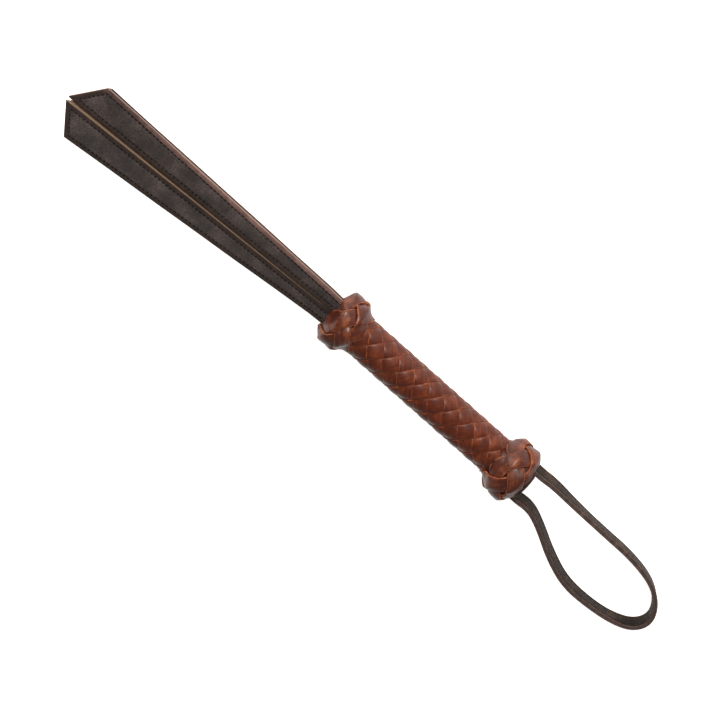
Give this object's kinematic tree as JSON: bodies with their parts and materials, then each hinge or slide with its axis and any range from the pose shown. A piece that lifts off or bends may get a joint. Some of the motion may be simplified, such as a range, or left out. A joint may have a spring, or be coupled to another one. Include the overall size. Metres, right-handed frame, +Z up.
{
  "type": "riding crop",
  "caption": "Short riding crop: split stitched leather blade, braided leather grip between two woven knots, stitched leather wrist loop",
  "frame": {"origin": "on the surface the crop lies on, under the middle of its length from butt disc to blade tip", "axes": "+X along the crop from the butt to the blade tip, +Z up out of the blade's front face"},
  "size_m": [0.5228, 0.0715, 0.042],
  "materials": {
    "core_wood": "plain turned dowel",
    "packing_leather": "rough split leather",
    "pin_brass": "peened rivet",
    "grip_leather": "smooth waxed chestnut lace, satin",
    "knot_leather": "smooth waxed chestnut lace, satin",
    "binding_thread": "waxed linen thread",
    "strap_leather": "dark brown, fine grain, dyed edge",
    "blade_leather": "dark brown pebbled grain, soft sheen",
    "blade_board": "firm split, painted edge",
    "stitch_thread": "dark waxed thread"
  },
  "bodies": {
    "handle": {"core_rod": "core_wood", "core_sleeve": "packing_leather", "mouth_filler": "packing_leather", "front_knot_foundation": "packing_leather", "rear_knot_foundation": "packing_leather", "tongue_pins": "pin_brass", "left_hand_strand_1": "grip_leather", "left_hand_strand_2": "grip_leather", "left_hand_strand_3": "grip_leather", "left_hand_strand_4": "grip_leather", "left_hand_strand_5": "grip_leather", "right_hand_strand_1": "grip_leather", "right_hand_strand_2": "grip_leather", "right_hand_strand_3": "grip_leather", "right_hand_strand_4": "grip_leather", "right_hand_strand_5": "grip_leather", "front_knot": "knot_leather", "rear_knot": "knot_leather", "front_binding": "binding_thread", "rear_binding": "binding_thread", "butt_disc": "strap_leather", "strap_end_left": "strap_leather", "strap_end_right": "strap_leather", "root_front_leather": "blade_leather", "root_back_leather": "blade_leather", "root_board": "blade_board", "root_stitching": "stitch_thread"},
    "left_tail": {"left_tail_front_leather": "blade_leather", "left_tail_back_leather": "blade_leather", "left_tail_board": "blade_board", "left_tail_stitching": "stitch_thread"},
    "right_tail": {"right_tail_front_leather": "blade_leather", "right_tail_back_leather": "blade_leather", "right_tail_board": "blade_board", "right_tail_stitching": "stitch_thread"},
    "wrist_loop": {"strap_outer_layer": "strap_leather", "strap_inner_layer": "strap_leather", "strap_stitching": "stitch_thread"}
  },
  "joints": [
    {"name": "left_tail_bend", "type": "hinge", "parent": "handle", "child": "left_tail", "pos_m": [-0.01367, 0, 0.021], "axis": [0, -1, 0], "range_deg": [-45, 45], "stiffness_Nm_per_rad": 1},
    {"name": "right_tail_bend", "type": "hinge", "parent": "handle", "child": "right_tail", "pos_m": [-0.01367, 0, 0.021], "axis": [0, -1, 0], "range_deg": [-45, 45], "stiffness_Nm_per_rad": 1},
    {"name": "wrist_loop_swing", "type": "hinge", "parent": "handle", "child": "wrist_loop", "pos_m": [-0.19897, 0, 0.021], "axis": [0, 1, 0], "range_deg": [-70, 85]}
  ]
}
